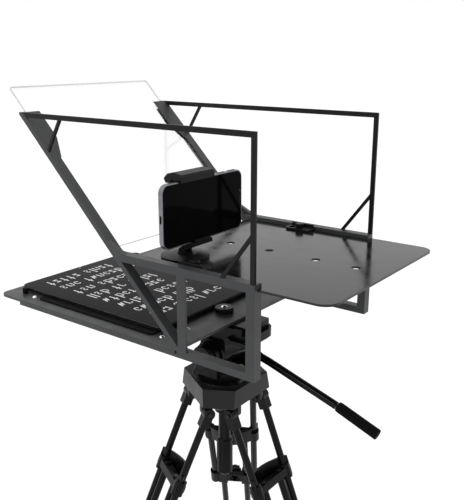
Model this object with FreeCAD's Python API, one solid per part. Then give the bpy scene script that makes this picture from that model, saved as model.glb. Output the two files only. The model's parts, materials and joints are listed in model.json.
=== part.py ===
import FreeCAD, Part
import math
import os

# Teleprompter on a fluid-head tripod.  Millimetres, +Z up, -Y towards the person being filmed.
# Everything is modelled about the deck: z = 0 is the top of the camera platform and
# y = 0 is the rear face of the side frames.  save() moves it all onto the floor.

V = FreeCAD.Vector

# ---- placement -------------------------------------------------------------
DECK_HEIGHT = 866.0        # platform top above the floor
ORIGIN_Y = 144.9           # puts the origin under the centre of the whole part

# ---- side frames -----------------------------------------------------------
HALF = 137.5               # outer half width of the frame
BAR = 13.0                 # bar depth across the frame
INNER = HALF - BAR
RAIL_TOP = 5.0
RAIL_LOW = -4.5
POST_W = 11.5
FRAME_BOTTOM = -107.0
SILL_TOP = -98.0
SILL_STEP = -102.6         # the sill is thinner where the tray lies on it
TRAY_TOP = -99.0
TRAY_LOW = -102.5
TRAY_FRONT = -456.0
TRAY_REAR = -115.0
SLANT_BACK = -203.5        # y + z on the rear face of the slanted bar
SLANT_FRONT = -213.4       # y + z on its front face
HOOD_TOP = 166.0
HOOD_RAIL = 6.4
HOOD_T = 3.0

# ---- glass -----------------------------------------------------------------
GLASS_HALF = 129.0
GLASS_T = 3.2
GLASS_MID = -208.5         # y + z in the middle of the glass
GLASS_FOOT = 160.0         # distance up the slope
GLASS_HEAD = 424.5

# ---- platform --------------------------------------------------------------
DECK_T = 2.5
DECK_REAR = 89.0
DECK_HALF = 133.0
DECK_FRONT = -196.0

# ---- tablet and phone ------------------------------------------------------
PAD_H = 2.0
TAB_HALF = 109.0
TAB_REAR = -163.0
TAB_LEN = 281.0
TAB_T = 5.5
PHONE_X = 57.0
PHONE_Z0 = 18.5
PHONE_W = 152.0
PHONE_H = 77.5
PHONE_Y = -132.0           # screen face
PHONE_T = 8.0
STAND_X = 84.0
STAND_Y = -142.0
KNUCKLE_Z = 10.2
KNUCKLE_R = 3.2

# ---- head and tripod -------------------------------------------------------
AXIS_Y = -147.0
TILT_Z = -150.0
PAN_LEVER_Z = -181.5
CROWN_TOP = -189.0
CROWN_LOW = -214.0
BOWL_R = 42.3
HINGE_Z = -226.0
HINGE_R = 38.5
HINGE_HALF = 36.0
LEG_ANGLE = 22.5
TUBE_R = 5.0
LOWER_Y = 19.0
FOOT_R = 16.0
LEG_LEN = (DECK_HEIGHT + HINGE_Z - FOOT_R) / math.cos(math.radians(LEG_ANGLE))
LEG_AZIMUTH = {"right": -30.0, "rear": 90.0, "left": 210.0}

os.makedirs("parts", exist_ok=True)


# ---- helpers ---------------------------------------------------------------
def box(x0, x1, y0, y1, z0, z1):
    return Part.makeBox(x1 - x0, y1 - y0, z1 - z0, V(x0, y0, z0))


def rod(start, end, radius):
    a = V(*start)
    along = V(*end) - a
    return Part.makeCylinder(radius, along.Length, a, along)


def cone(start, end, r0, r1):
    a = V(*start)
    along = V(*end) - a
    return Part.makeCone(r0, r1, along.Length, a, along)


def ball(centre, radius):
    return Part.makeSphere(radius, V(*centre))


def prism_yz(points, x0, x1):
    """Extrude a closed outline given as (y, z) points from x0 to x1."""
    wire = Part.makePolygon([V(x0, y, z) for y, z in points + points[:1]])
    return Part.Face(wire).extrude(V(x1 - x0, 0, 0))


def prism_xy(points, z0, z1):
    wire = Part.makePolygon([V(x, y, z0) for x, y in points + points[:1]])
    return Part.Face(wire).extrude(V(0, 0, z1 - z0))


def fuse(shapes):
    whole = shapes[0]
    for shape in shapes[1:]:
        whole = whole.fuse(shape)
    return whole.removeSplitter()


def cut(shape, *tools):
    for tool in tools:
        shape = shape.cut(tool)
    return shape


def mirror(shape):
    return shape.mirror(V(0, 0, 0), V(1, 0, 0))


def pair(shape):
    return Part.makeCompound([shape, mirror(shape)])


def edges_along(shape, axis, minimum=0.0):
    """Straight edges parallel to an axis, for rounding corners."""
    found = []
    for edge in shape.Edges:
        if edge.Curve.TypeId != "Part::GeomLine" or edge.Length < minimum:
            continue
        along = edge.tangentAt(edge.FirstParameter)
        if abs(abs(along.dot(axis)) - 1.0) < 1e-6:
            found.append(edge)
    return found


def rounded(shape, axis, radius, minimum=0.0):
    return shape.makeFillet(radius, edges_along(shape, axis, minimum))


def soft_box(x0, x1, y0, y1, z0, z1, radius, axis=V(0, 0, 1), bevel=0.0):
    shape = rounded(box(x0, x1, y0, y1, z0, z1), axis, radius)
    if bevel:
        shape = bevelled(shape, bevel)
    return shape


def bevelled(shape, size):
    try:
        return shape.makeChamfer(size, shape.Edges)
    except Exception:
        return shape


def slope_point(x, up, mid):
    """A point on the 45 degree glass slope: `up` along it, `mid` = y + z."""
    half = math.sqrt(0.5)
    return V(x, mid / 2.0 - up * half, mid / 2.0 + up * half)


def slope_block(x0, x1, up0, up1, back, front):
    """Block lying in the glass slope between two y + z planes."""
    corners = [slope_point(x0, up0, back), slope_point(x0, up1, back)]
    corners += [slope_point(x0, up1, front), slope_point(x0, up0, front)]
    wire = Part.makePolygon(corners + corners[:1])
    return Part.Face(wire).extrude(V(x1 - x0, 0, 0))


def save(name, shape):
    shape = shape.copy()
    shape.translate(V(0, ORIGIN_Y, DECK_HEIGHT))
    shape.exportStep("parts/%s.step" % name)


def save_sides(name, shape):
    save(name + "_right", shape)
    save(name + "_left", mirror(shape))


# ---- side frames -----------------------------------------------------------
def lower_frame():
    """Top rail, rear post, sill and strut of one side, welded together."""
    rail = [(0, RAIL_TOP), (0, RAIL_LOW)]
    rail += [(SLANT_BACK - RAIL_LOW, RAIL_LOW), (SLANT_BACK - RAIL_TOP, RAIL_TOP)]
    parts = [prism_yz(rail, INNER, HALF)]
    parts.append(box(INNER, HALF, -POST_W, 0, FRAME_BOTTOM, RAIL_TOP))
    parts.append(box(INNER, HALF, -112.0, 0, FRAME_BOTTOM, SILL_TOP))
    parts.append(box(INNER, HALF, -410.0, -110.0, FRAME_BOTTOM, SILL_STEP))
    parts.append(box(HALF - 2.5, HALF, -110.0, -97.0, SILL_TOP - 2.0, RAIL_LOW + 2.0))
    frame = fuse(parts)
    corner = SLANT_BACK - RAIL_TOP
    web = prism_yz([(corner, RAIL_TOP), (corner + 15.0, RAIL_TOP), (corner - 13.0, RAIL_TOP + 13.0)],
                   HALF - 6.0, HALF)
    return frame.fuse(web).removeSplitter()


def slant_bar():
    """The 45 degree bar with the groove that the glass slides in."""
    low = TRAY_TOP + 0.2
    outline = [(SLANT_BACK - low, low), (SLANT_BACK - HOOD_TOP, HOOD_TOP)]
    outline += [(SLANT_FRONT - HOOD_TOP + 3.0, HOOD_TOP), (SLANT_FRONT - HOOD_TOP + 3.0, HOOD_TOP - 3.0)]
    outline += [(SLANT_FRONT - low, low)]
    bar = prism_yz(outline, INNER, HALF)
    wide = prism_yz([(SLANT_BACK - 111.0, 111.0), (SLANT_BACK - HOOD_TOP, HOOD_TOP),
                     (SLANT_FRONT - HOOD_TOP + 3.0, HOOD_TOP), (SLANT_FRONT - 111.0, 111.0)],
                    HALF - 27.5, INNER)
    taper = Part.makePolygon([V(HALF - 28.0, -500.0, 100.0), V(INNER, -500.0, 109.0),
                              V(HALF - 28.0, -500.0, 135.0), V(HALF - 28.0, -500.0, 100.0)])
    wide = wide.cut(Part.Face(taper).extrude(V(0, 400.0, 0)))
    groove = slope_block(HALF - 30.0, GLASS_HALF + 0.4, GLASS_FOOT - 0.4, 600.0,
                         GLASS_MID + 2.5, GLASS_MID - 2.5)
    return fuse([bar, wide]).cut(groove).cut(lower_frame())


def hood_bar(start, end, width):
    """Flat bar between two (y, z) points, `width` wide, in the outer plane."""
    a = V(0, *start)
    b = V(0, *end)
    side = (b - a).cross(V(1, 0, 0)).normalize() * (width / 2.0)
    ring = [a + side, b + side, b - side, a - side]
    return prism_yz([(p.y, p.z) for p in ring], HALF - HOOD_T, HALF)


def hood_frame():
    """Top rail, rear post and two braces of the upper frame."""
    low = HOOD_TOP - HOOD_RAIL
    rail = [(0, HOOD_TOP), (0, low), (SLANT_BACK - low, low), (SLANT_BACK - HOOD_TOP, HOOD_TOP)]
    parts = [prism_yz(rail, HALF - HOOD_T, HALF)]
    parts.append(box(HALF - HOOD_T, HALF, -6.0, 0, RAIL_TOP, HOOD_TOP))
    parts.append(hood_bar((-2.0, 61.0), (-48.0, 0.5), 4.2))
    parts.append(hood_bar((-296.0, 164.0), (-327.0, 114.4), 4.2))
    frame = fuse(parts)
    behind = prism_yz([(SLANT_BACK - RAIL_TOP, RAIL_TOP), (100.0, RAIL_TOP), (100.0, 300.0),
                       (SLANT_BACK - 300.0, 300.0)], 0.0, 300.0)
    return frame.common(behind)


def build_frames():
    save_sides("lower_frame", lower_frame())
    save_sides("slant_bar", slant_bar())
    save_sides("hood_frame", hood_frame())


# ---- glass -----------------------------------------------------------------
def build_glass():
    reach = GLASS_T / math.sqrt(2.0)
    glass = slope_block(-GLASS_HALF, GLASS_HALF, GLASS_FOOT, GLASS_HEAD, GLASS_MID + reach, GLASS_MID - reach)
    normal = V(0, 1, 1).normalize()
    save("beam_splitter_glass", rounded(glass, normal, 3.0))


# ---- tray ------------------------------------------------------------------
SCREW_SPOTS = [(118.0, -401.0), (116.0, -155.0), (78.0, -146.0)]


def build_tray():
    tray = box(-HALF, HALF, TRAY_FRONT, TRAY_REAR, TRAY_LOW, TRAY_TOP)
    front = [e for e in edges_along(tray, V(0, 0, 1)) if e.CenterOfMass.y < -400]
    tray = tray.makeFillet(12.0, front)
    holes = [rod((0, AXIS_Y, TRAY_LOW - 1), (0, AXIS_Y, TRAY_TOP + 1), 5.05)]
    for x, y in SCREW_SPOTS:
        holes.append(rod((x, y, TRAY_LOW - 1), (x, y, TRAY_TOP + 1), 2.0))
        holes.append(rod((-x, y, TRAY_LOW - 1), (-x, y, TRAY_TOP + 1), 2.0))
    save("tablet_tray", cut(tray, *holes))
    pad = soft_box(104.0, 121.0, -390.0, -168.0, TRAY_TOP, TRAY_TOP + PAD_H, 7.0)
    save("tray_rest_strips", pair(pad))
    screws = []
    for x, y in SCREW_SPOTS:
        shank = rod((x, y, TRAY_LOW), (x, y, TRAY_TOP), 2.0)
        screw = dome_screw(x, y, TRAY_TOP, 3.6, 2.2).fuse(shank).removeSplitter()
        screws += [screw, mirror(screw)]
    save("tray_screws", Part.makeCompound(screws))
    post = rod((114.6, -426.0, TRAY_TOP), (114.6, -426.0, TRAY_TOP + 8.0), 4.2)
    save("tablet_side_stops", pair(bevelled(post, 0.8)))


def dome_screw(x, y, z, radius, height):
    """Domed head standing on z, with a driver socket."""
    curve = (radius * radius + height * height) / (2.0 * height)
    dome = ball((x, y, z + height - curve), curve).common(
        rod((x, y, z), (x, y, z + height + 1), radius + 1))
    socket = rod((x, y, z + height - 1.0), (x, y, z + height + 1), radius * 0.38)
    return dome.cut(socket)


def fluted_knob(x, y, z0, z1, radius, flutes, depth):
    knob = rod((x, y, z0), (x, y, z1), radius)
    knob = bevelled(knob, 1.0)
    cuts = []
    for i in range(flutes):
        a = 2 * math.pi * i / flutes
        cx = x + (radius + depth * 0.55) * math.cos(a)
        cy = y + (radius + depth * 0.55) * math.sin(a)
        cuts.append(rod((cx, cy, z0 - 1), (cx, cy, z1 + 1), depth))
    return cut(knob, *cuts)


def build_mount_knob():
    base = TRAY_TOP + 0.4
    knob = fluted_knob(0, AXIS_Y, base, base + 7.0, 12.8, 20, 1.1)
    stud = rod((0, AXIS_Y, TRAY_LOW - 7.0), (0, AXIS_Y, base + 1), 5.0)
    save("mount_knob", knob.fuse(stud).removeSplitter())
    save("mount_knob_cap", dome_screw(0, AXIS_Y, base + 7.0, 4.6, 2.2))


# ---- platform --------------------------------------------------------------
HOLE_SPOTS = [-136.0, -75.0, -7.0, 47.0]
EAR_Y = -101.0


def build_deck():
    neck = 124.2
    wide = soft_box(-DECK_HALF, DECK_HALF, 0.8, DECK_REAR, -DECK_T, 0, 18.0)
    wide = wide.fuse(box(-DECK_HALF, DECK_HALF, 0.8, 30.0, -DECK_T, 0))
    deck = wide.fuse(box(-neck, neck, DECK_FRONT, 10.0, -DECK_T, 0)).removeSplitter()
    holes = [rod((0, y, -DECK_T - 1), (0, y, 1), 5.5) for y in HOLE_SPOTS]
    for side in (-1, 1):
        holes.append(rod((side * 114.0, EAR_Y, -DECK_T - 1), (side * 114.0, EAR_Y, 1), 2.55))
    save("camera_platform", cut(deck, *holes))
    ear = soft_box(106.5, INNER - 0.1, EAR_Y - 19.5, EAR_Y + 19.5, 0, 3.0, 4.0)
    ear = ear.fuse(box(INNER - 3.1, INNER - 0.1, EAR_Y - 17.0, EAR_Y + 17.0, 0, 8.0)).removeSplitter()
    ear = ear.cut(rod((114.0, EAR_Y, -1), (114.0, EAR_Y, 9), 2.55))
    ear = ear.cut(soft_box(109.0, 117.5, EAR_Y - 16.0, EAR_Y - 8.5, -1, 4, 3.0))
    save("platform_ears", pair(ear))
    nut = fluted_knob(114.0, EAR_Y, 3.4, 9.4, 5.6, 10, 0.8)
    stud = rod((114.0, EAR_Y, -DECK_T - 4.0), (114.0, EAR_Y, 4.0), 2.5)
    save_sides("platform_thumb_screw", nut.fuse(stud).removeSplitter())


# ---- tablet ----------------------------------------------------------------
def build_tablet():
    low = TRAY_TOP + PAD_H + 0.05
    front = TAB_REAR - TAB_LEN
    body = soft_box(-TAB_HALF, TAB_HALF, front, TAB_REAR, low, low + TAB_T - 0.6, 11.0)
    rim = [e for e in body.Edges if abs(e.CenterOfMass.z - low) < 0.01]
    save("tablet_body", body.makeChamfer(1.4, rim))
    lens = rod((0, front + 5.5, low + TAB_T - 1), (0, front + 5.5, low + TAB_T + 1), 1.6)
    screen = soft_box(-TAB_HALF + 0.5, TAB_HALF - 0.5, front + 0.5, TAB_REAR - 0.5,
                      low + TAB_T - 0.6, low + TAB_T, 10.5)
    save("tablet_screen", screen.cut(lens))


# ---- phone and its stand ---------------------------------------------------
def build_phone():
    x0 = PHONE_X - PHONE_W / 2.0
    x1 = PHONE_X + PHONE_W / 2.0
    z1 = PHONE_Z0 + PHONE_H
    along = V(0, 1, 0)
    rear = PHONE_Y - PHONE_T
    body = soft_box(x0, x1, rear, PHONE_Y - 0.6, PHONE_Z0, z1, 11.0, along)
    ring = [e for e in body.Edges if abs(e.CenterOfMass.y - rear) < 0.01]
    body = body.makeFillet(2.2, ring)
    wells = [box(x0 + 34.0, x0 + 47.0, rear + 2.8, rear + 5.2, z1 - 1.4, z1 + 1)]
    wells.append(box(x0 + 12.0, x0 + 26.0, rear + 2.8, rear + 5.2, z1 - 1.4, z1 + 1))
    port = soft_box(x1 - 5.0, x1 + 1.0, rear + 2.6, rear + 5.4, PHONE_Z0 + 32.0, PHONE_Z0 + 42.0, 1.2, V(1, 0, 0))
    save("phone_body", cut(body, port, *wells))
    save("phone_screen", soft_box(x0 + 1.6, x1 - 1.6, PHONE_Y - 0.6, PHONE_Y, PHONE_Z0 + 1.6, z1 - 1.6, 9.5, along))
    save("phone_volume_key", box(x0 + 34.2, x0 + 46.8, rear + 3.0, rear + 5.0, z1 - 0.9, z1 + 0.7))
    save("phone_power_key", box(x0 + 12.2, x0 + 25.8, rear + 3.0, rear + 5.0, z1 - 0.9, z1 + 0.7))


def build_stand():
    foot = rod((STAND_X, STAND_Y, 0), (STAND_X, STAND_Y, 3.0), 30.0)
    crown = cone((STAND_X, STAND_Y, 3.0), (STAND_X, STAND_Y, 5.5), 30.0, 15.0)
    foot = foot.fuse(crown).removeSplitter()
    save("stand_foot", foot.cut(rod((STAND_X, STAND_Y, 2.0), (STAND_X, STAND_Y, 9.0), 5.05)))
    pillar = rod((STAND_X, STAND_Y, 5.9), (STAND_X, STAND_Y, KNUCKLE_Z - 3.4), 10.0)
    parts = [pillar, rod((STAND_X, STAND_Y, 2.3), (STAND_X, STAND_Y, 6.0), 5.0)]
    for x in (STAND_X - 9.0, STAND_X + 4.4):
        parts.append(box(x, x + 4.6, STAND_Y - KNUCKLE_R, STAND_Y + KNUCKLE_R, 6.0, KNUCKLE_Z))
        parts.append(rod((x, STAND_Y, KNUCKLE_Z), (x + 4.6, STAND_Y, KNUCKLE_Z), KNUCKLE_R))
    bore = rod((STAND_X - 12.0, STAND_Y, KNUCKLE_Z), (STAND_X + 12.0, STAND_Y, KNUCKLE_Z), 2.05)
    save("stand_neck", fuse(parts).cut(bore))
    build_clamp()


def build_clamp():
    """Tilting clamp: knuckle, back rail and lower jaw, with the sliding upper jaw."""
    cx = STAND_X - 8.0
    back = PHONE_Y - PHONE_T - 0.2
    lower = PHONE_Z0 - 0.2
    knuckle = rod((STAND_X - 4.1, STAND_Y, KNUCKLE_Z), (STAND_X + 4.1, STAND_Y, KNUCKLE_Z), KNUCKLE_R)
    pin = rod((STAND_X - 9.4, STAND_Y, KNUCKLE_Z), (STAND_X + 9.4, STAND_Y, KNUCKLE_Z), 2.0)
    link = box(STAND_X - 4.1, STAND_X + 4.1, STAND_Y - 3.0, STAND_Y + 3.0, KNUCKLE_Z, lower - 2.0)
    jaw = soft_box(cx - 30.0, cx + 12.0, back - 6.0, PHONE_Y + 3.5, lower - 4.5, lower, 2.0)
    lip = box(cx - 24.0, cx + 4.0, PHONE_Y + 0.3, PHONE_Y + 3.5, lower - 1.0, lower + 3.5)
    rail = box(cx - 22.0, cx + 8.0, back - 6.0, back - 1.8, lower - 1.0, 92.0)
    slot = box(cx - 12.0, cx - 2.0, back - 7.0, back, 60.0, 100.0)
    save("phone_clamp", fuse([knuckle, pin, link, jaw, lip, rail]).cut(slot))
    top = PHONE_Z0 + PHONE_H + 0.9
    outline = [(back - 17.0, top + 1.0), (back - 12.0, top + 7.0), (back - 4.0, top + 9.0)]
    outline += [(PHONE_Y + 1.0, top + 7.0), (PHONE_Y + 2.6, top + 4.5), (PHONE_Y + 2.6, top - 2.5)]
    outline += [(PHONE_Y + 0.3, top - 2.5), (PHONE_Y + 0.3, top), (back - 6.0, top)]
    outline += [(back - 6.0, top - 4.0), (back - 14.0, top - 4.0)]
    cap = prism_yz(outline, cx - 35.0, cx + 27.0)
    for x, slant in ((cx - 35.0, 1), (cx + 27.0, -1)):
        wedge = Part.makePolygon([V(x - slant, -200.0, top + 2.5), V(x - slant, -200.0, top + 20.0),
                                  V(x + slant * 9.0, -200.0, top + 20.0), V(x - slant, -200.0, top + 2.5)])
        cap = cap.cut(Part.Face(wedge).extrude(V(0, 100.0, 0)))
    tongue = box(cx - 11.6, cx - 2.4, back - 5.7, back - 2.1, 64.0, top + 1.0)
    save("phone_clamp_jaw", fuse([cap, tongue]))


# ---- fluid head ------------------------------------------------------------
def build_head():
    plate = soft_box(-25.0, 25.0, AXIS_Y - 58.0, AXIS_Y + 58.0, -112.0, TRAY_LOW, 3.0)
    save("quick_release_plate", plate.cut(rod((0, AXIS_Y, -111.0), (0, AXIS_Y, -100.0), 5.05)))
    seat = soft_box(-31.0, 31.0, AXIS_Y - 68.0, AXIS_Y + 65.0, -128.0, -112.3, 18.0)
    rear = [e for e in seat.Edges if e.CenterOfMass.y > AXIS_Y + 47.0 and abs(e.CenterOfMass.z + 128.0) < 0.01]
    seat = seat.makeChamfer(4.0, rear)
    rails = [box(25.4, 31.0, AXIS_Y - 50.0, AXIS_Y + 52.0, -113.0, -105.0)]
    rails.append(box(-31.0, -25.4, AXIS_Y - 50.0, AXIS_Y + 52.0, -113.0, -105.0))
    save("head_seat", fuse([seat] + rails))
    drum = rod((-30.8, AXIS_Y, TILT_Z), (30.8, AXIS_Y, TILT_Z), 21.0)
    block = box(-26.0, 26.0, AXIS_Y - 21.0, AXIS_Y + 21.0, TILT_Z, -128.0)
    trunnion = rod((-40.3, AXIS_Y, TILT_Z), (40.3, AXIS_Y, TILT_Z), 6.0)
    save("tilt_drum", fuse([drum, block, trunnion]))
    save("pan_yoke", yoke())
    save("tilt_drag_dial", dial_x(41.0, 49.5, 16.5))
    base = rod((0, AXIS_Y, -202.0), (0, AXIS_Y, -188.0), BOWL_R - 0.3)
    base = bevelled(base, 0.8)
    half_ball = ball((0, AXIS_Y, -196.0), 35.8).common(
        rod((0, AXIS_Y, -240.0), (0, AXIS_Y, -202.0), 60.0))
    save("pan_base", fuse([base, half_ball]))
    build_levers()


def yoke():
    disc = rod((0, AXIS_Y, -187.7), (0, AXIS_Y, -175.5), 36.0)
    cheek = box(31.2, 40.0, AXIS_Y - 18.0, AXIS_Y + 18.0, -180.0, TILT_Z)
    cheek = cheek.fuse(rod((31.2, AXIS_Y, TILT_Z), (40.0, AXIS_Y, TILT_Z), 18.0))
    shoulder = rod((31.2, AXIS_Y, -180.0), (31.2, AXIS_Y, -180.0 + 4.0), 8.8)
    cheek = cheek.fuse(shoulder).removeSplitter()
    bore = rod((-60.0, AXIS_Y, TILT_Z), (60.0, AXIS_Y, TILT_Z), 6.05)
    drum_room = rod((-31.2, AXIS_Y, TILT_Z), (31.2, AXIS_Y, TILT_Z), 25.2)
    return fuse([disc, cheek, mirror(cheek)]).cut(drum_room).cut(bore)


def dial_x(x0, x1, radius):
    """Ribbed dial on the tilt axis."""
    dial = bevelled(rod((x0, AXIS_Y, TILT_Z), (x1, AXIS_Y, TILT_Z), radius), 1.2)
    cuts = []
    for i in range(24):
        a = 2 * math.pi * i / 24
        y = AXIS_Y + (radius + 0.6) * math.cos(a)
        z = TILT_Z + (radius + 0.6) * math.sin(a)
        cuts.append(rod((x0 + 1.5, y, z), (x1 + 1, y, z), 1.2))
    return cut(dial, *cuts)


def build_levers():
    hub = rod((31.4, AXIS_Y + 34.0, -121.0), (38.0, AXIS_Y + 34.0, -121.0), 5.0)
    arm = soft_box(33.5, 38.0, AXIS_Y + 34.0, AXIS_Y + 64.0, -123.5, -118.5, 2.0)
    save("plate_lock_lever", hub.fuse(arm).removeSplitter())
    boss = rod((0, AXIS_Y + 36.3, PAN_LEVER_Z), (0, AXIS_Y + 44.0, PAN_LEVER_Z), 4.4)
    wing = soft_box(-2.5, 25.0, AXIS_Y + 39.0, AXIS_Y + 44.0, PAN_LEVER_Z - 2.5, PAN_LEVER_Z + 2.5, 1.6)
    save("pan_lock_lever", boss.fuse(wing).removeSplitter())
    level = rod((0, AXIS_Y + 28.0, -175.5), (0, AXIS_Y + 28.0, -171.5), 6.5)
    save("bubble_level", bevelled(level, 0.8))


PAN_X = -48.0
PAN_R = 5.6
PAN_PATH = [(-147.0, -152.0), (-134.0, -168.0), (-118.0, -175.5), (-104.0, -179.0), (4.6, -212.5), (68.0, -234.5)]


def build_pan_bar():
    hub = rod((-54.2, AXIS_Y, TILT_Z), (-41.0, AXIS_Y, TILT_Z), 11.0)
    parts = [bevelled(hub, 1.2)]
    for (y0, z0), (y1, z1) in zip(PAN_PATH[:-2], PAN_PATH[1:-1]):
        parts.append(rod((PAN_X, y0, z0), (PAN_X, y1, z1), PAN_R))
        parts.append(ball((PAN_X, y1, z1), PAN_R))
    (y0, z0), (y1, z1) = PAN_PATH[-2:]
    grip = rod((PAN_X, y0, z0), (PAN_X, y1, z1), 7.5)
    save("pan_bar", fuse(parts[:-1]).cut(grip))
    save("pan_bar_grip", bevelled(grip, 1.0).cut(parts[-2]))
    nut = rod((-61.0, AXIS_Y, TILT_Z), (-54.5, AXIS_Y, TILT_Z), 8.0)
    wings = box(-60.0, -55.5, AXIS_Y - 15.0, AXIS_Y + 15.0, TILT_Z - 3.5, TILT_Z + 3.5)
    save("pan_bar_wing_nut", nut.fuse(wings).removeSplitter())


# ---- tripod ----------------------------------------------------------------
def turned(shape, azimuth):
    """Turn a piece built towards +X about the tripod axis."""
    shape = shape.copy()
    shape.rotate(V(0, 0, 0), V(0, 0, 1), azimuth)
    shape.translate(V(0, AXIS_Y, 0))
    return shape


def leaned(shape, azimuth):
    """Hang a piece built straight down from the origin on its leg hinge."""
    shape = shape.copy()
    shape.rotate(V(0, 0, 0), V(0, 1, 0), -LEG_ANGLE)
    shape.translate(V(HINGE_R, 0, HINGE_Z))
    return turned(shape, azimuth)


def hexagon(tangent, radial, z):
    """Closed six-sided wire with a long side facing each leg."""
    points = []
    for azimuth in (-30.0, 90.0, 210.0):
        for side in (-1, 1):
            a = math.radians(azimuth)
            x = radial * math.cos(a) - side * tangent * math.sin(a)
            y = radial * math.sin(a) + side * tangent * math.cos(a)
            points.append(V(x, AXIS_Y + y, z))
    return Part.makePolygon(points + points[:1])


def build_crown():
    ball_room = ball((0, AXIS_Y, -196.0), 36.2)
    mouth = rod((0, AXIS_Y, -202.3), (0, AXIS_Y, CROWN_TOP + 1.0), BOWL_R)
    screw_hole = rod((0, AXIS_Y, -250.0), (0, AXIS_Y, -200.0), 6.0)
    flare = Part.makeLoft([hexagon(41.5, 48.0, CROWN_LOW), hexagon(37.0, 46.6, CROWN_TOP)], True, True)
    save("tripod_crown", cut(flare, ball_room, mouth))
    core = cone((0, AXIS_Y, -238.0), (0, AXIS_Y, CROWN_LOW), 20.0, 37.0)
    save("crown_core", cut(core, ball_room, screw_hole))
    ears = []
    bolts = []
    for azimuth in LEG_AZIMUTH.values():
        for side in (-1, 1):
            ear = box(31.0, 45.5, 22.0, 29.0, HINGE_Z, CROWN_LOW)
            ear = ear.fuse(rod((HINGE_R, 22.0, HINGE_Z), (HINGE_R, 29.0, HINGE_Z), 7.0)).removeSplitter()
            bolt = rod((HINGE_R, 20.5, HINGE_Z), (HINGE_R, 44.0, HINGE_Z), 3.0)
            ear = ear.cut(bolt)
            if side < 0:
                ear = ear.mirror(V(0, 0, 0), V(0, 1, 0))
                bolt = bolt.mirror(V(0, 0, 0), V(0, 1, 0))
            ears.append(turned(ear, azimuth).cut(core))
            bolts.append(turned(bolt, azimuth))
    save("hinge_ears", Part.makeCompound(ears))
    save("hinge_bolts", Part.makeCompound(bolts))
    rim = rod((0, AXIS_Y, CROWN_TOP), (0, AXIS_Y, CROWN_TOP + 1.2), 45.0)
    save("bowl_rim", rim.cut(rod((0, AXIS_Y, -210.0), (0, AXIS_Y, -180.0), BOWL_R + 0.4)))


def build_tie_down():
    stud = rod((0, AXIS_Y, -242.0), (0, AXIS_Y, -232.4), 5.0)
    washer = rod((0, AXIS_Y, -246.0), (0, AXIS_Y, -240.4), 14.0)
    neck = rod((0, AXIS_Y, -292.0), (0, AXIS_Y, -246.0), 8.6)
    grip = rod((0, AXIS_Y, -346.0), (0, AXIS_Y, -290.0), 11.5)
    grip = bevelled(grip, 2.5)
    cuts = []
    for i in range(10):
        a = 2 * math.pi * i / 10
        x = 12.2 * math.cos(a)
        y = AXIS_Y + 12.2 * math.sin(a)
        cuts.append(rod((x, y, -350.0), (x, y, -294.0), 1.6))
    save("tie_down_handle", fuse([stud, washer, neck, cut(grip, *cuts)]))


def outer_tubes():
    tubes = []
    for side in (-1, 1):
        y0 = side * HINGE_HALF
        y1 = side * 32.0
        tube = rod((0, y0, -6.0), (0, y1, -238.0), TUBE_R)
        lug = rod((0, y0 - 6.5, 0), (0, y0 + 6.5, 0), 8.0)
        lug = lug.fuse(box(-6.5, 6.5, y0 - 6.5, y0 + 6.5, -20.0, 0))
        pin = rod((0, y0 - 10.0, 0), (0, y0 + 10.0, 0), 3.05)
        tubes.append(tube.fuse(lug).removeSplitter().cut(pin))
    return tubes


def tube_holes(shape):
    """Clear the outer tubes out of a cross plate."""
    for side in (-1, 1):
        shape = shape.cut(rod((0, side * HINGE_HALF, -6.0), (0, side * 32.0, -238.0), TUBE_R))
        shape = shape.cut(rod((0, side * LOWER_Y, -300.0), (0, side * LOWER_Y, -60.0), TUBE_R + 0.08))
    return shape


def middle_bracket():
    """Bowed band that ties the outer tubes and guides the inner ones."""
    band = rod((34.0, 0, -121.0), (34.0, 0, -93.0), 52.0)
    band = band.cut(rod((34.0, 0, -125.0), (34.0, 0, -90.0), 48.0))
    band = band.common(box(-19.0, 6.0, -41.0, 41.0, -121.0, -93.0))
    guide = box(-7.0, 7.0, -40.0, 40.0, -117.0, -107.0)
    sockets = [rod((0, s * 34.1, -123.0), (0, s * 34.1, -103.0), 8.4) for s in (-1, 1)]
    return tube_holes(fuse([band, guide] + sockets))


def ring_plate():
    """Lower cross plate with the round eye and the clamp blocks."""
    plate = box(-5.0, 5.0, -38.0, 38.0, -237.0, -219.0)
    sockets = [rod((0, s * 32.2, -241.0), (0, s * 32.2, -215.0), 8.2) for s in (-1, 1)]
    blocks = [box(-8.0, 8.0, s * 19.0 - 7.5, s * 19.0 + 7.5, -241.0, -215.0) for s in (-1, 1)]
    eye = rod((-10.0, 0, -228.0), (10.0, 0, -228.0), 8.5)
    end = box(-20.0, 20.0, -60.0, 60.0, -260.0, -238.0)
    plate = fuse([plate] + sockets + blocks).cut(end)
    lug = box(6.0, 13.0, -3.0, 3.0, -222.5, -215.5)
    lug = lug.fuse(box(5.0, 7.0, -10.0, 10.0, -222.5, -215.5))
    lug = lug.cut(rod((10.5, -9.0, -219.0), (10.5, 9.0, -219.0), 1.55))
    return tube_holes(plate.cut(eye)).fuse(lug).removeSplitter()


def lower_tubes():
    tubes = []
    for side in (-1, 1):
        tubes.append(rod((0, side * LOWER_Y, -LEG_LEN + 34.0), (0, side * LOWER_Y, -104.0), TUBE_R))
    return tubes


def foot_shoe():
    shoe = soft_box(-9.0, 9.0, -28.0, 28.0, -LEG_LEN + 14.0, -LEG_LEN + 52.0, 6.0)
    holes = [rod((0, s * LOWER_Y, -LEG_LEN + 34.0), (0, s * LOWER_Y, 0), TUBE_R) for s in (-1, 1)]
    window = rod((-20.0, 0, -LEG_LEN + 40.0), (20.0, 0, -LEG_LEN + 40.0), 7.0)
    return cut(shoe, window, *holes)


def foot_rubber():
    reach = rod((0, 0, -LEG_LEN - 20.0), (0, 0, -LEG_LEN + 14.0), 20.0)
    return ball((0, 0, -LEG_LEN), FOOT_R).common(reach)


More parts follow.
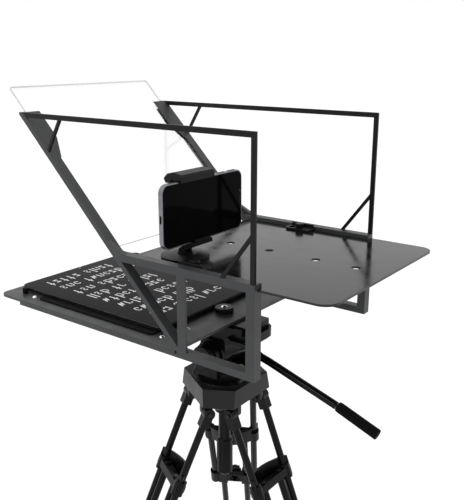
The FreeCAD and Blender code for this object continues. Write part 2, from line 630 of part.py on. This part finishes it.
def clamp_lever():
    knuckles = [rod((10.5, -6.8, -219.0), (10.5, -3.3, -219.0), 3.2)]
    knuckles.append(rod((10.5, 3.3, -219.0), (10.5, 6.8, -219.0), 3.2))
    pin = rod((10.5, -6.8, -219.0), (10.5, 6.8, -219.0), 1.5)
    paddle = soft_box(11.6, 15.2, -7.0, 7.0, -262.0, -224.5, 3.0, V(1, 0, 0))
    arms = [box(10.6, 13.6, s - 1.75, s + 1.75, -226.0, -219.0) for s in (-5.05, 5.05)]
    return fuse(knuckles + [pin, paddle] + arms)


def build_legs():
    for side, azimuth in LEG_AZIMUTH.items():
        save("leg_tubes_" + side, leaned(Part.makeCompound(outer_tubes()), azimuth))
        castings = Part.makeCompound([middle_bracket(), ring_plate()])
        save("leg_castings_" + side, leaned(castings, azimuth))
        lower = Part.makeCompound(lower_tubes() + [foot_shoe()])
        save("lower_leg_" + side, leaned(lower, azimuth))
        save("foot_rubber_" + side, leaned(foot_rubber(), azimuth))
        save("leg_clamp_lever_" + side, leaned(clamp_lever(), azimuth))


build_frames()
build_glass()
build_tray()
build_mount_knob()
build_deck()
build_tablet()
build_phone()
build_stand()
build_head()
build_pan_bar()
build_crown()
build_tie_down()
build_legs()
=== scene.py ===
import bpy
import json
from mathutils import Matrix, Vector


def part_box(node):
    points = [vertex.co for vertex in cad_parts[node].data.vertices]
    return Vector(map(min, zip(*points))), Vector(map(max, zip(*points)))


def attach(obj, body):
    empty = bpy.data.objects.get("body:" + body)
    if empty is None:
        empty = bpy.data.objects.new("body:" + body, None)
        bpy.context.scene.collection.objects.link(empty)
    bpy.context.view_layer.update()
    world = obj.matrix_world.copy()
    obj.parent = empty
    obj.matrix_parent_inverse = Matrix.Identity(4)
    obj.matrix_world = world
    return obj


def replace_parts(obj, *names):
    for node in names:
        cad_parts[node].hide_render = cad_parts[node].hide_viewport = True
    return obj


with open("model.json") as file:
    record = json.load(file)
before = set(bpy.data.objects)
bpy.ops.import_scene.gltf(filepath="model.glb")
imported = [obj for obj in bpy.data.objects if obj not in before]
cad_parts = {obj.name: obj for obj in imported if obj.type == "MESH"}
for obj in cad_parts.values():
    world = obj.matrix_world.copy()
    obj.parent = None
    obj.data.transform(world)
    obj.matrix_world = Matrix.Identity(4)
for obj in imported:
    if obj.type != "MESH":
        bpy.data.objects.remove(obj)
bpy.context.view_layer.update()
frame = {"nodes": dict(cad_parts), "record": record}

import json
import math
import random

import bpy
from mathutils import Vector

# Looks of the teleprompter.  Metres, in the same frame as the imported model.

NODES = frame["nodes"]


# ---- material helpers -------------------------------------------------------
class Nodes:
    """Short way to write a node material around one Principled shader."""

    def __init__(self, name):
        self.material = bpy.data.materials.new(name)
        self.material.use_nodes = True
        self.tree = self.material.node_tree
        self.shader = self.tree.nodes["Principled BSDF"]
        self.output = self.tree.nodes["Material Output"]
        self.place = self.add("ShaderNodeTexCoord").outputs["Object"]

    def add(self, kind, **inputs):
        node = self.tree.nodes.new(kind)
        for key, value in inputs.items():
            self.put(node, key.replace("_", " "), value)
        return node

    def put(self, node, key, value):
        socket = node.inputs[int(key)] if key.isdigit() else node.inputs[key]
        if isinstance(value, bpy.types.NodeSocket):
            self.tree.links.new(value, socket)
        else:
            socket.default_value = value

    def noise(self, scale, detail=3.0, rough=0.5, stretch=None, where=None):
        spot = where or self.place
        if stretch:
            spot = self.add("ShaderNodeMapping", Vector=spot, Scale=stretch).outputs[0]
        node = self.add("ShaderNodeTexNoise", Vector=spot, Scale=scale, Detail=detail, Roughness=rough)
        return node.outputs["Fac"]

    def range(self, value, low, high, out_low, out_high):
        node = self.add("ShaderNodeMapRange", Value=value)
        self.put(node, "From Min", low)
        self.put(node, "From Max", high)
        self.put(node, "To Min", out_low)
        self.put(node, "To Max", out_high)
        return node.outputs[0]

    def maths(self, kind, a, b=0.0):
        node = self.add("ShaderNodeMath")
        node.operation = kind
        self.put(node, "0", a)
        self.put(node, "1", b)
        return node.outputs[0]

    def blend(self, amount, first, second):
        node = self.add("ShaderNodeMix")
        node.data_type = "RGBA"
        self.put(node, "0", amount)
        self.put(node, "6", first)
        self.put(node, "7", second)
        return node.outputs[2]

    def edge(self, radius, low=0.02, high=0.30):
        """How near a point is to a sharp edge, and the rounded normal there."""
        bevel = self.add("ShaderNodeBevel", Radius=radius)
        bevel.samples = 4
        flat = self.add("ShaderNodeNewGeometry").outputs["Normal"]
        dot = self.add("ShaderNodeVectorMath")
        dot.operation = "DOT_PRODUCT"
        self.tree.links.new(bevel.outputs[0], dot.inputs[0])
        self.tree.links.new(flat, dot.inputs[1])
        bend = self.maths("SUBTRACT", 1.0, dot.outputs["Value"])
        return self.range(bend, low, high, 0.0, 1.0), bevel.outputs[0]

    def bump(self, height, strength, distance, normal=None):
        node = self.add("ShaderNodeBump", Height=height, Strength=strength, Distance=distance)
        if normal is not None:
            self.put(node, "Normal", normal)
        return node.outputs[0]

    def colour(self, value):
        self.put(self.shader, "Base Color", value)

    def rough(self, value):
        self.put(self.shader, "Roughness", value)

    def normal(self, value):
        self.put(self.shader, "Normal", value)


def rgba(colour, gain=1.0):
    return tuple(min(1.0, c * gain) for c in colour) + (1.0,)


def coated(name, colour, rough, grain=900.0, bump=0.25, wear=0.35, mottling=0.12, dust=0.05, gloss=0.5):
    """Powder coat or a painted casting: orange peel, faint mottling, rubbed edges and a trace of dust."""
    n = Nodes(name)
    edge, soft = n.edge(0.0007)
    broad = n.noise(11.0, 4.0, 0.6)
    fine = n.noise(grain, 2.0, 0.55)
    speck = n.noise(grain * 2.3, 1.0, 0.5)
    darker = rgba(colour, 1.0 - mottling)
    lighter = rgba(colour, 1.0 + mottling)
    base = n.blend(n.range(broad, 0.3, 0.7, 0.0, 1.0), darker, lighter)
    base = n.blend(n.range(speck, 0.62, 0.74, 0.0, 0.30), base, rgba(colour, 2.1))
    patchy = n.noise(70.0, 3.0, 0.7)
    rubbed = n.maths("MULTIPLY", edge, n.range(patchy, 0.42, 0.66, 0.15, 1.0))
    base = n.blend(n.maths("MULTIPLY", rubbed, wear), base, rgba(colour, 3.2))
    up = n.add("ShaderNodeSeparateXYZ", Vector=n.add("ShaderNodeNewGeometry").outputs["Normal"]).outputs[2]
    upward = n.range(up, 0.6, 1.0, 0.0, dust)
    cloudy = n.range(n.noise(38.0, 5.0, 0.75), 0.45, 0.75, 0.0, 1.0)
    settled = n.maths("MULTIPLY", upward, cloudy)
    base = n.blend(settled, base, (0.42, 0.41, 0.40, 1.0))
    n.colour(base)
    n.rough(n.range(n.noise(45.0, 4.0, 0.6), 0.3, 0.7, rough - 0.05, rough + 0.07))
    n.normal(n.bump(fine, bump, 0.00025, soft))
    n.put(n.shader, "Specular IOR Level", gloss)
    return n.material


def anodised(name, colour, rough, along, wear=0.3, metallic=0.5, gloss=0.3, rub=4.5, width=0.0006):
    """Drawn and anodised tube: fine streaks along it, scuffs and bright rubbed edges."""
    n = Nodes(name)
    edge, soft = n.edge(width)
    streaks = n.noise(420.0, 3.0, 0.6, along)
    scuff = n.noise(90.0, 5.0, 0.75)
    base = n.blend(n.range(streaks, 0.3, 0.7, 0.0, 1.0), rgba(colour, 0.82), rgba(colour, 1.25))
    base = n.blend(n.maths("MULTIPLY", edge, wear), base, rgba(colour, rub))
    base = n.blend(n.range(scuff, 0.68, 0.80, 0.0, 0.25), base, rgba(colour, 3.0))
    n.colour(base)
    n.rough(n.range(streaks, 0.3, 0.7, rough - 0.05, rough + 0.08))
    n.normal(n.bump(streaks, 0.12, 0.00008, soft))
    n.put(n.shader, "Metallic", metallic)
    n.put(n.shader, "Specular IOR Level", gloss)
    return n.material


def plastic(name, colour, rough, grain=1500.0, bump=0.3, wear=0.2, gloss=0.3):
    """Moulded plastic with a fine spark-eroded grain."""
    n = Nodes(name)
    edge, soft = n.edge(0.0005)
    fine = n.noise(grain, 2.0, 0.6)
    broad = n.noise(25.0, 4.0, 0.6)
    base = n.blend(n.range(broad, 0.3, 0.7, 0.0, 1.0), rgba(colour, 0.88), rgba(colour, 1.14))
    base = n.blend(n.maths("MULTIPLY", edge, wear), base, rgba(colour, 3.0))
    n.colour(base)
    n.rough(n.range(fine, 0.3, 0.7, rough - 0.04, rough + 0.06))
    n.normal(n.bump(fine, bump, 0.0001, soft))
    n.put(n.shader, "Specular IOR Level", gloss)
    return n.material


def rubber(name, colour, rough=0.72):
    """Matt rubber with a cloudy bloom."""
    n = Nodes(name)
    fine = n.noise(700.0, 4.0, 0.7)
    bloom = n.noise(55.0, 5.0, 0.7)
    base = n.blend(n.range(bloom, 0.45, 0.75, 0.0, 0.6), rgba(colour), rgba(colour, 2.4))
    n.colour(base)
    n.rough(n.range(bloom, 0.3, 0.7, rough - 0.05, rough + 0.1))
    n.normal(n.bump(fine, 0.35, 0.00015))
    n.put(n.shader, "Specular IOR Level", 0.10)
    return n.material


def bright_metal(name, colour, rough, stretch=(1.0, 1.0, 1.0), bump=0.1, spread=0.09):
    """Polished or brushed bright metal with fine scratches."""
    n = Nodes(name)
    edge, soft = n.edge(0.0003)
    lines = n.noise(900.0, 3.0, 0.6, stretch)
    stain = n.noise(160.0, 4.0, 0.6)
    n.colour(n.blend(n.range(stain, 0.35, 0.7, 0.0, 1.0), rgba(colour), rgba(colour, 0.78)))
    n.rough(n.range(lines, 0.3, 0.7, max(0.03, rough - 0.05), rough + spread))
    n.normal(n.bump(lines, bump, 0.00005, soft))
    n.put(n.shader, "Metallic", 1.0)
    return n.material


def dark_glass(name, colour, smear, gloss):
    """Screen glass: deep black under a clear coat, with faint finger smears in its gloss."""
    n = Nodes(name)
    trace = n.noise(34.0, 5.0, 0.7, (1.0, 0.5, 1.0))
    ripple = n.noise(9.0, 2.0, 0.4)
    n.colour(n.blend(n.range(trace, 0.35, 0.7, 0.0, 1.0), rgba(colour), rgba(colour, 1.7)))
    n.rough(n.range(trace, 0.40, 0.78, 0.05, smear))
    n.normal(n.bump(ripple, 0.03, 0.0004))
    n.put(n.shader, "Specular IOR Level", gloss)
    return n.material


def clear_glass(name):
    """Half-silvered plate: clear with a mirror share, wiping marks, and frosted grey-green narrow faces."""
    n = Nodes(name)
    low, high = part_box("beam_splitter_glass")
    facing = Vector((0, high.z - low.z, high.y - low.y)).normalized()
    see = n.add("ShaderNodeBsdfTransparent", Color=(0.998, 1.0, 0.999, 1.0))
    wipe = n.range(n.noise(16.0, 5.0, 0.7), 0.35, 0.75, 0.0, 0.012)
    shine = n.add("ShaderNodeBsdfGlossy", Color=(1.0, 1.0, 1.0, 1.0), Roughness=wipe)
    plate = n.add("ShaderNodeMixShader", Fac=0.10)
    n.tree.links.new(see.outputs[0], plate.inputs[1])
    n.tree.links.new(shine.outputs[0], plate.inputs[2])
    flat = n.add("ShaderNodeNewGeometry").outputs["Normal"]
    dot = n.add("ShaderNodeVectorMath")
    dot.operation = "DOT_PRODUCT"
    n.tree.links.new(flat, dot.inputs[0])
    dot.inputs[1].default_value = facing
    narrow = n.range(n.maths("ABSOLUTE", dot.outputs["Value"]), 0.3, 0.7, 0.45, 0.0)
    ground = n.noise(500.0, 3.0, 0.6)
    n.colour(n.blend(n.range(ground, 0.3, 0.7, 0.0, 1.0), (0.13, 0.16, 0.15, 1.0), (0.20, 0.24, 0.22, 1.0)))
    n.rough(0.35)
    both = n.add("ShaderNodeMixShader")
    n.tree.links.new(narrow, both.inputs[0])
    n.tree.links.new(plate.outputs[0], both.inputs[1])
    n.tree.links.new(n.shader.outputs[0], both.inputs[2])
    n.tree.links.new(both.outputs[0], n.output.inputs[0])
    return n.material


def lit(name, colour, strength, patch=0.12):
    """Lit screen marks."""
    n = Nodes(name)
    glow = n.noise(1400.0, 1.0, 0.5)
    tone = n.blend(n.range(glow, 0.3, 0.7, 0.0, 1.0), rgba(colour, 1.0 - patch), rgba(colour))
    n.colour(tone)
    n.put(n.shader, "Emission Color", tone)
    n.put(n.shader, "Emission Strength", strength)
    n.rough(n.range(glow, 0.3, 0.7, 0.25, 0.35))
    return n.material


# Noise scale per axis: a small number draws the pattern out along that axis.
STREAKS_ALONG_Y = (1.0, 0.15, 1.0)
STREAKS_ALONG_Z = (1.0, 1.0, 0.06)

# One material per slot of the record.
MATERIALS = {
    "frame_grey": coated("frame_coat", (0.025, 0.026, 0.0275), 0.42, gloss=0.36),
    "hood_black": coated("hood_coat", (0.0035, 0.0035, 0.004), 0.38, wear=0.35, gloss=0.17),
    "deck_grey": coated(
        "deck_coat", (0.0034, 0.0035, 0.0038), 0.15,
        grain=700.0, bump=0.04, wear=2.0, dust=0.004, gloss=0.34,
    ),
    "glass": clear_glass("beam_splitter"),
    # Rubber colour is partly real black rubber and partly painted shade: set darker than the rubber's own
    # tone so the rest strips under the tablet read as the deep shade in the gap there.
    "rubber": rubber("black_rubber_with_painted_shade", (0.0018, 0.0018, 0.0018)),
    "chrome": bright_metal("chrome_plate", (0.82, 0.82, 0.84), 0.12),
    "black_plastic": plastic("grained_plastic", (0.0035, 0.0035, 0.004), 0.36, gloss=0.14),
    "device_dark": anodised(
        "dark_device", (0.014, 0.014, 0.016), 0.34, STREAKS_ALONG_Y, wear=0.8, metallic=0.3, gloss=0.2
    ),
    "device_silver": bright_metal("silver_device", (0.23, 0.235, 0.25), 0.30, bump=0.02, spread=0.03),
    "screen_glass": dark_glass("screen_glass", (0.0012, 0.0012, 0.0015), 0.10, 0.02),
    "head_black": coated(
        "head_coat", (0.0026, 0.0026, 0.003), 0.26, grain=1100.0, bump=0.25, wear=1.2, gloss=0.12
    ),
    "crown_grey": coated(
        "crown_coat", (0.009, 0.0093, 0.0098), 0.34, grain=1000.0, bump=0.3, wear=0.8, gloss=0.20
    ),
    "tube_black": anodised(
        "tube_anodised", (0.0025, 0.0025, 0.003), 0.16, STREAKS_ALONG_Z, wear=0.3, metallic=0.0, gloss=0.14
    ),
    "steel": bright_metal("turned_steel", (0.22, 0.22, 0.24), 0.26, (1.0, 1.0, 6.0)),
}
# Nodes that look different from the rest of their slot.
OWN_MATERIALS = {
    "hinge_bolts": coated("black_bolts", (0.006, 0.006, 0.007), 0.3, wear=1.2, gloss=0.25),
    "tablet_body": anodised(
        "tablet_shell", (0.012, 0.0115, 0.011), 0.30, STREAKS_ALONG_Y,
        wear=1.0, metallic=0.3, gloss=0.08, rub=20.0, width=0.0012,
    ),
    "bowl_rim": bright_metal("turned_rim", (0.10, 0.10, 0.11), 0.22),
}


def paint_cad_nodes():
    for row in frame["record"]["subparts"]:
        node = NODES[row["node"]]
        material = OWN_MATERIALS.get(row["node"], MATERIALS[row["material_slot"]])
        for place in node.material_slots:
            place.material = material
        if not node.material_slots:
            node.data.materials.append(material)


# ---- mesh helpers -----------------------------------------------------------
def mesh_piece(name, points, faces, slot, body, material=None):
    mesh = bpy.data.meshes.new(name)
    mesh.from_pydata([tuple(p) for p in points], [], faces)
    mesh.validate()
    mesh.update()
    obj = bpy.data.objects.new(name, mesh)
    bpy.context.scene.collection.objects.link(obj)
    mesh.materials.append(material or MATERIALS[slot])
    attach(obj, body)
    return obj


def lathe(name, start, end, profile, slot, body, turns=48, material=None, flute=None):
    """Turn (distance, radius) pairs about the line from start to end.

    flute = (count, depth, first, last) sinks grooves along the rows between two distances.
    """
    start = Vector(start)
    axis = (Vector(end) - start).normalized()
    side = axis.orthogonal().normalized()
    other = axis.cross(side)
    points = []
    for along, radius in profile:
        for i in range(turns):
            angle = 2 * math.pi * i / turns
            r = radius
            if flute and flute[2] <= along <= flute[3]:
                r -= flute[1] * (0.5 + 0.5 * math.cos(flute[0] * angle)) ** 3
            points.append(start + axis * along + (side * math.cos(angle) + other * math.sin(angle)) * r)
    faces = []
    for row in range(len(profile) - 1):
        for i in range(turns):
            j = (i + 1) % turns
            a = row * turns
            faces.append((a + i, a + j, a + turns + j, a + turns + i))
    faces.append(tuple(reversed(range(turns))))
    last = (len(profile) - 1) * turns
    faces.append(tuple(range(last, last + turns)))
    obj = mesh_piece(name, points, faces, slot, body, material)
    obj.data.shade_smooth()
    obj.data.set_sharp_from_angle(angle=math.radians(40))
    return obj


def slab(points, faces, centre, along, across, half_long, half_wide, height):
    """Add one thin block lying in a plane, to a growing list."""
    first = len(points)
    up = along.cross(across).normalized() * height
    corners = [(-1, -1), (1, -1), (1, 1), (-1, 1)]
    for lift in (Vector((0, 0, 0)), up):
        for a, b in corners:
            points.append(centre + along * (a * half_long) + across * (b * half_wide) + lift)
    faces.append(tuple(first + k for k in (0, 3, 2, 1)))
    faces.append(tuple(first + k for k in (4, 5, 6, 7)))
    for k in range(4):
        m = (k + 1) % 4
        faces.append((first + k, first + m, first + 4 + m, first + 4 + k))


# ---- tablet -----------------------------------------------------------------
# Made-up marks, each a few strokes in a unit cell: (x0, y0, x1, y1) lines and arcs.
STEM = ("line", 0.12, 0.0, 0.12, 1.0)
SHORT = ("line", 0.12, 0.0, 0.12, 0.62)
MARKS = [
    [STEM, ("arc", 0.45, 0.31, 0.31, -90, 150)],
    [("arc", 0.42, 0.31, 0.30, 40, 330)],
    [SHORT, ("arc", 0.45, 0.34, 0.30, 0, 170), ("line", 0.75, 0.0, 0.75, 0.34)],
    [STEM],
    [("line", 0.06, 0.62, 0.30, 0.0), ("line", 0.30, 0.0, 0.48, 0.5), ("line", 0.48, 0.5, 0.70, 0.0)],
    [SHORT, ("arc", 0.42, 0.36, 0.28, 30, 170)],
    [("arc", 0.40, 0.31, 0.30, -150, 130), ("line", 0.72, 0.0, 0.72, 0.62)],
    [("line", 0.30, 0.0, 0.30, 0.95), ("line", 0.08, 0.62, 0.54, 0.62)],
    [("line", 0.10, 0.60, 0.62, 0.60), ("line", 0.62, 0.60, 0.10, 0.04), ("line", 0.10, 0.04, 0.64, 0.04)],
    [("arc", 0.40, 0.46, 0.17, 20, 260), ("arc", 0.36, 0.15, 0.17, -170, 90)],
]
WORDS = [[5, 5], [3, 8], [3, 6], [4, 2, 5], [5, 4], [4, 1, 5], [2, 3, 4], [3, 1, 3, 3]]


def strokes_of(mark):
    """Straight pieces ((x, y), (x, y)) of one mark."""
    for part in mark:
        if part[0] == "line":
            yield (part[1], part[2]), (part[3], part[4])
            continue
        steps = 7
        angles = [math.radians(part[4] + (part[5] - part[4]) * k / steps) for k in range(steps + 1)]
        ring = [(part[1] + part[3] * math.cos(a), part[2] + part[3] * math.sin(a)) for a in angles]
        for first, second in zip(ring[:-1], ring[1:]):
            yield first, second


MARK_WIDTH = 0.0119
MARK_HEIGHT = 0.0195
ROW_PITCH = 0.0302
STROKE_HALF_WIDTH = 0.0009
STROKE_OVERSHOOT = 0.0007
STROKE_HEIGHT = 0.00008


def add_mark(points, faces, mark, x, y, z):
    """One mark, mirrored left to right so that it reads in the beam splitter."""
    for (x0, y0), (x1, y1) in strokes_of(mark):
        a = Vector((x - x0 * MARK_WIDTH, y + y0 * MARK_HEIGHT, z))
        b = Vector((x - x1 * MARK_WIDTH, y + y1 * MARK_HEIGHT, z))
        along = (b - a).normalized()
        across = Vector((0, 0, 1)).cross(along)
        half_long = (b - a).length / 2 + STROKE_OVERSHOOT
        slab(points, faces, (a + b) / 2, along, across, half_long, STROKE_HALF_WIDTH, STROKE_HEIGHT)


def tablet_marks():
    """Rows of bold, unreadable word-like marks on the lit screen."""
    low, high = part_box("tablet_screen")
    rng = random.Random(11)
    points, faces = [], []
    row_y = low.y + 0.0225
    for words in WORDS:
        x = high.x - 0.026
        for count in words:
            for _ in range(count):
                mark = rng.choice(MARKS)
                add_mark(points, faces, mark, x, row_y, high.z + 0.00006)
                x -= MARK_WIDTH * (0.52 if mark == [STEM] else 1.06)
            x -= MARK_WIDTH * 0.75
        row_y += ROW_PITCH
    glow = lit("screen_marks", (0.60, 0.60, 0.59), 0.30)
    return mesh_piece("tablet_marks", points, faces, "screen_glass", "tablet", glow)


def tablet_lens():
    low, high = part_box("tablet_screen")
    spot = Vector(((low.x + high.x) / 2, low.y + 0.0050, high.z - 0.0004))
    tip = spot + Vector((0, 0, 0.001))
    profile = [(0, 0.00145), (0.00022, 0.00145), (0.00030, 0.0012)]
    profile += [(0.00022, 0.0009), (0.00034, 0.0005), (0.00036, 0.0002)]
    return lathe("tablet_lens", spot, tip, profile, "chrome", "tablet", 24)


# ---- phone ------------------------------------------------------------------
def phone_details():
    low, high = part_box("phone_screen")
    face = high.y
    mid = (low.z + high.z) / 2
    points, faces = [], []
    slot_centre = Vector((low.x + 0.0035, face + 0.00001, mid))
    slab(points, faces, slot_centre, Vector((0, 0, 1)), Vector((1, 0, 0)), 0.0060, 0.00045, 0.00003)
    mesh_piece("phone_speaker_slot", points, faces, "black_plastic", "phone_holder")
    spot = Vector((low.x + 0.0035, face, mid + 0.011))
    lens = [(0, 0.0016), (0.00004, 0.0016), (0.00006, 0.0011), (0.00005, 0.0004)]
    lathe("phone_front_lens", spot, spot + Vector((0, 0.001, 0)), lens, "device_dark", "phone_holder", 24)
    phone_camera_block()


def rounded_square(half, count, squareness=0.35):
    """Points round a superellipse; the smaller the squareness, the tighter its corners."""
    ring = []
    for k in range(count):
        a = 2 * math.pi * k / count
        c, s = math.cos(a), math.sin(a)
        x = half * math.copysign(abs(c) ** squareness, c)
        z = half * math.copysign(abs(s) ** squareness, s)
        ring.append((x, z))
    return ring


def phone_camera_block():
    """Raised two-lens block on the back of the phone, at its far upper corner."""
    low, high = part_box("phone_body")
    margin = 0.008
    half = 0.0125
    turns = 48
    centre = Vector((high.x - margin - half, low.y, high.z - margin - half))
    ring = rounded_square(half, turns)
    levels = [(0.0, 1.0), (-0.0009, 1.0), (-0.0013, 0.965), (-0.0014, 0.90)]
    points = [centre + Vector((x * k, y, z * k)) for y, k in levels for x, z in ring]
    faces = []
    for row in range(len(levels) - 1):
        for i in range(turns):
            j = (i + 1) % turns
            a = row * turns
            faces.append((a + i, a + j, a + turns + j, a + turns + i))
    last = (len(levels) - 1) * turns
    faces.append(tuple(range(last, last + turns)))
    block = mesh_piece("phone_camera_block", points, faces, "device_silver", "phone_holder")
    block.data.shade_smooth()
    block.data.set_sharp_from_angle(angle=math.radians(35))
    lens = [(0, 0.0048), (0.0008, 0.0048), (0.0010, 0.0044), (0.0007, 0.0040)]
    lens += [(0.0006, 0.0022), (0.0008, 0.0009)]
    for letter, side in (("a", -1), ("b", 1)):
        spot = centre + Vector((side * 0.0052, -0.0013, side * 0.0052))
        tip = spot + Vector((0, -0.01, 0))
        lathe("phone_rear_lens_" + letter, spot, tip, lens, "screen_glass", "phone_holder", 36)


# ---- head and tripod --------------------------------------------------------
def pan_grip():
    """Fluted rubber sleeve with a flat end, in place of the plain CAD sleeve.

    The bar lies in a plane of constant X and runs down towards +Y.
    """
    low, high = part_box("pan_bar_grip")
    x = (low.x + high.x) / 2
    outer = (high.x - low.x) / 2
    near = Vector((x, low.y, high.z))
    far = Vector((x, high.y, low.z))
    along = (far - near).normalized()
    inset = Vector((0, outer * abs(along.z), -outer * abs(along.y)))
    start = near + inset
    end = far - inset
    length = (end - start).length
    profile = [(0.0002, 0.0058), (0.0008, 0.0068), (0.0030, 0.0072), (0.0060, 0.0073)]
    at = 0.010
    while at < length - 0.008:
        profile.append((at, 0.0073))
        at += 0.004
    end_rows = [(0.0060, 0.0074), (0.0020, 0.0074), (0.0008, 0.0070), (0.0005, 0.0060), (0.0011, 0.0054)]
    profile += [(length - back, radius) for back, radius in end_rows]
    flute = (12, 0.0011, 0.0095, length - 0.0085)
    obj = lathe("pan_bar_grip_sleeve", start, end, profile, "rubber", "handle_bar", 96, flute=flute)
    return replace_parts(obj, "pan_bar_grip")


FOOT_RADIUS = 0.016
LEG_LEAN = math.radians(22.5)
LEG_AZIMUTH = {"right": math.radians(-30.0), "rear": math.radians(90.0), "left": math.radians(210.0)}


def foot(side):
    """Moulded rubber foot with tread rings, in place of the plain CAD dome."""
    name = "foot_rubber_" + side
    low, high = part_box(name)
    centre = Vector(((low.x + high.x) / 2, (low.y + high.y) / 2, low.z + FOOT_RADIUS))
    out = Vector((math.cos(LEG_AZIMUTH[side]), math.sin(LEG_AZIMUTH[side]), 0))
    axis = (out * math.sin(LEG_LEAN) - Vector((0, 0, 1)) * math.cos(LEG_LEAN)).normalized()
    profile = []
    steps = 40
    for k in range(steps + 1):
        angle = math.radians(-61.0 + 150.0 * k / steps)
        groove = 0.0007 if k % 5 == 2 and k > 8 else 0.0
        profile.append((FOOT_RADIUS * math.sin(angle), (FOOT_RADIUS - groove) * math.cos(angle)))
    profile.append((FOOT_RADIUS * 0.9999, 0.0004))
    obj = lathe("foot_pad_" + side, centre, centre + axis, profile, "rubber", "lower_" + side, 56)
    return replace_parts(obj, name)


def level_vial():
    """Bull's-eye level: metal cup, green liquid and one bubble."""
    low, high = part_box("bubble_level")
    base = Vector(((low.x + high.x) / 2, (low.y + high.y) / 2, low.z))
    up = Vector((0, 0, 1))
    cup = [(0, 0.0064), (0.0036, 0.0064), (0.0040, 0.0061), (0.0040, 0.0054), (0.0032, 0.0052)]
    obj = lathe("level_cup", base, base + up, cup, "steel", "pan_turn", 40)
    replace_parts(obj, "bubble_level")
    liquid = Nodes("level_liquid")
    tone = liquid.noise(300.0, 2.0, 0.5)
    share = liquid.range(tone, 0.3, 0.7, 0.0, 1.0)
    liquid.colour(liquid.blend(share, (0.30, 0.52, 0.05, 1), (0.38, 0.62, 0.08, 1)))
    liquid.rough(liquid.range(tone, 0.3, 0.7, 0.05, 0.10))
    pool = [(0.003, 0.0053), (0.0034, 0.0051), (0.0038, 0.0036), (0.0040, 0.0012)]
    lathe("level_liquid", base, base + up, pool, "chrome", "pan_turn", 40, liquid.material)
    spot = base + Vector((0.0006, 0.0004, 0.00385))
    bubble = [(0, 0.0013), (0.00012, 0.0012), (0.0002, 0.0006)]
    lathe("level_bubble", spot, spot + up, bubble, "chrome", "pan_turn", 24)


# ---- stage ------------------------------------------------------------------
def floor():
    mesh = bpy.data.meshes.new("floor")
    half = 14.0
    corners = [(-half, -half, 0), (half, -half, 0), (half, half, 0), (-half, half, 0)]
    mesh.from_pydata(corners, [], [(0, 1, 2, 3)])
    obj = bpy.data.objects.new("floor", mesh)
    bpy.context.scene.collection.objects.link(obj)
    n = Nodes("studio_floor")
    tone = n.noise(1.2, 3.0, 0.5)
    n.colour(n.blend(n.range(tone, 0.3, 0.7, 0.0, 1.0), (0.90, 0.90, 0.90, 1), (0.92, 0.92, 0.92, 1)))
    n.rough(n.range(tone, 0.3, 0.7, 0.70, 0.80))
    mesh.materials.append(n.material)


def area(name, place, aim, size, power):
    data = bpy.data.lights.new(name, "AREA")
    data.shape = "RECTANGLE"
    data.size = size[0]
    data.size_y = size[1]
    data.energy = power
    obj = bpy.data.objects.new(name, data)
    obj.location = place
    obj.rotation_euler = (Vector(aim) - Vector(place)).to_track_quat("-Z", "Y").to_euler()
    bpy.context.scene.collection.objects.link(obj)


def lights():
    """An even white studio with a soft sun and one soft key light."""
    world = bpy.data.worlds.new("studio")
    bpy.context.scene.world = world
    world.use_nodes = True
    world.node_tree.nodes["Background"].inputs["Color"].default_value = (1.0, 1.0, 1.0, 1.0)
    world.node_tree.nodes["Background"].inputs["Strength"].default_value = 1.0
    data = bpy.data.lights.new("sky", "SUN")
    data.energy = 0.55
    data.angle = math.radians(60)
    sky = bpy.data.objects.new("sky", data)
    sky.rotation_euler = (math.radians(12), math.radians(10), 0)
    bpy.context.scene.collection.objects.link(sky)
    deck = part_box("camera_platform")
    middle = (deck[0] + deck[1]) / 2
    area("key", middle + Vector((1.9, -0.5, 1.3)), middle, (1.2, 0.5), 12.0)


def camera():
    """Viewpoint behind and to the side of the set, a little above the platform."""
    data = bpy.data.cameras.new("view")
    obj = bpy.data.objects.new("view", data)
    downward, heading = 15.83, 127.13
    obj.location = (0.71195, 0.55013, 1.10969)
    obj.rotation_euler = (math.radians(90 - downward), 0, math.radians(heading))
    data.sensor_width = 36.0
    data.lens = 50.82
    data.clip_start = 0.01
    bpy.context.scene.collection.objects.link(obj)
    bpy.context.scene.camera = obj


paint_cad_nodes()
tablet_marks()
tablet_lens()
phone_details()
pan_grip()
for side in ("right", "rear", "left"):
    foot(side)
level_vial()
floor()
lights()
camera()
bpy.context.scene.view_settings.view_transform = "Standard"
